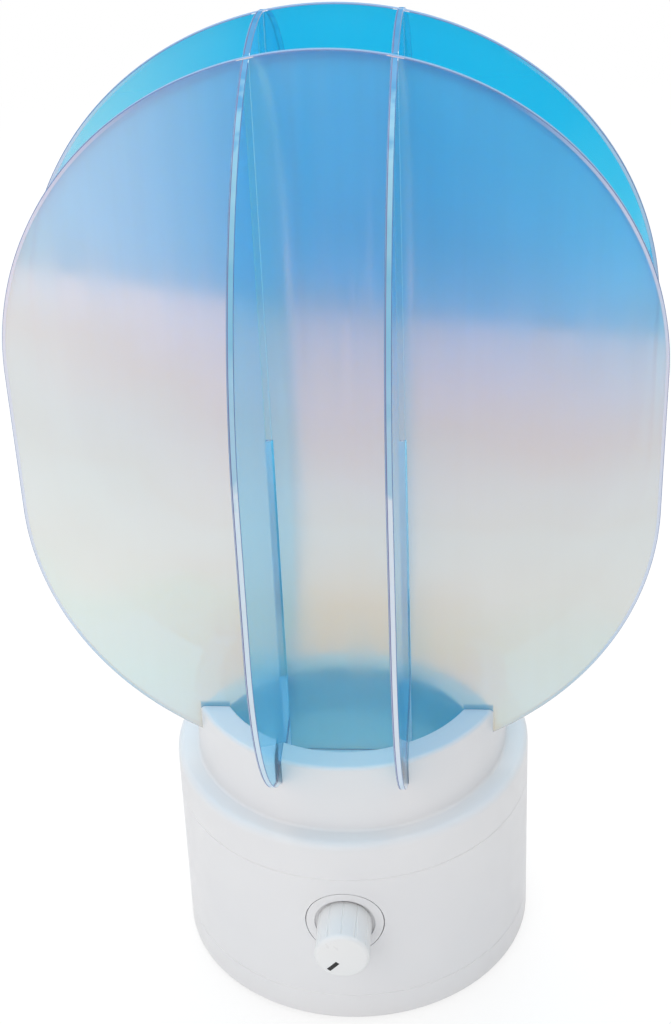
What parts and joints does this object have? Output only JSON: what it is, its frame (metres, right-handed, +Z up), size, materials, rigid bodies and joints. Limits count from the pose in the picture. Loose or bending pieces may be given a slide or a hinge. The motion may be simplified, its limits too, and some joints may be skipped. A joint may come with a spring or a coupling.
{
  "type": "table lamp",
  "caption": "Bedside table lamp: interlocking colour-shifting acrylic panels with round ends stand in the slotted collar of a white drum base with a rotary dimmer knob.",
  "frame": {"origin": "centre of the footprint, on the surface that the feet stand on", "axes": "+Z up, -Y towards the front with the dimmer knob, +X to the right seen from the front"},
  "size_m": [0.2, 0.2, 0.3304],
  "materials": {
    "film_panel": "clear acrylic sheet with a colour-shifting film",
    "white_plastic": "satin",
    "knob_white": "satin",
    "pointer_black": "matte",
    "rubber": "matte",
    "screw_steel": "zinc plated",
    "plate_steel": "zinc plated",
    "opal_plastic": "opal",
    "board_aluminium": "matte",
    "led_yellow": "gloss",
    "board_green": "satin",
    "capacitor_sleeve": "gloss",
    "connector_ivory": "satin",
    "wafer_brown": "matte",
    "black_plastic": "satin",
    "lead_red": "satin",
    "lead_yellow": "satin",
    "lead_black": "satin"
  },
  "bodies": {
    "base": {"bottom_cover": "white_plastic", "rubber_feet": "rubber", "bottom_screws": "screw_steel", "ballast_plate": "plate_steel", "base_shell": "white_plastic", "top_cover": "white_plastic", "cover_screws": "screw_steel", "diffuser": "opal_plastic", "led_board": "board_aluminium", "led_chips": "led_yellow", "led_screws": "screw_steel", "driver_board": "board_green", "driver_capacitor": "capacitor_sleeve", "driver_inductor": "black_plastic", "driver_chips": "black_plastic", "board_connectors": "connector_ivory", "board_screws": "screw_steel", "dial_bezel": "white_plastic", "pot_washer": "screw_steel", "pot_nut": "screw_steel", "pot_bushing": "plate_steel", "pot_wafer": "wafer_brown", "pot_terminals": "screw_steel", "pot_case": "plate_steel", "pot_switch": "black_plastic", "front_panel": "film_panel", "rear_panel": "film_panel", "left_panel": "film_panel", "right_panel": "film_panel", "power_inlet": "black_plastic", "inlet_pin": "screw_steel", "inlet_nut": "screw_steel", "inlet_tabs": "screw_steel", "led_leads": "lead_red", "dimmer_leads": "lead_yellow", "inlet_leads": "lead_black"},
    "knob": {"knob": "knob_white", "knob_pointer": "pointer_black", "pot_shaft": "board_aluminium", "pot_rotor": "black_plastic"}
  },
  "joints": [
    {"name": "knob_turn", "type": "hinge", "parent": "base", "child": "knob", "pos_m": [0, -0.0614, 0.045], "axis": [0, 1, 0], "range_deg": [0, 280]}
  ]
}
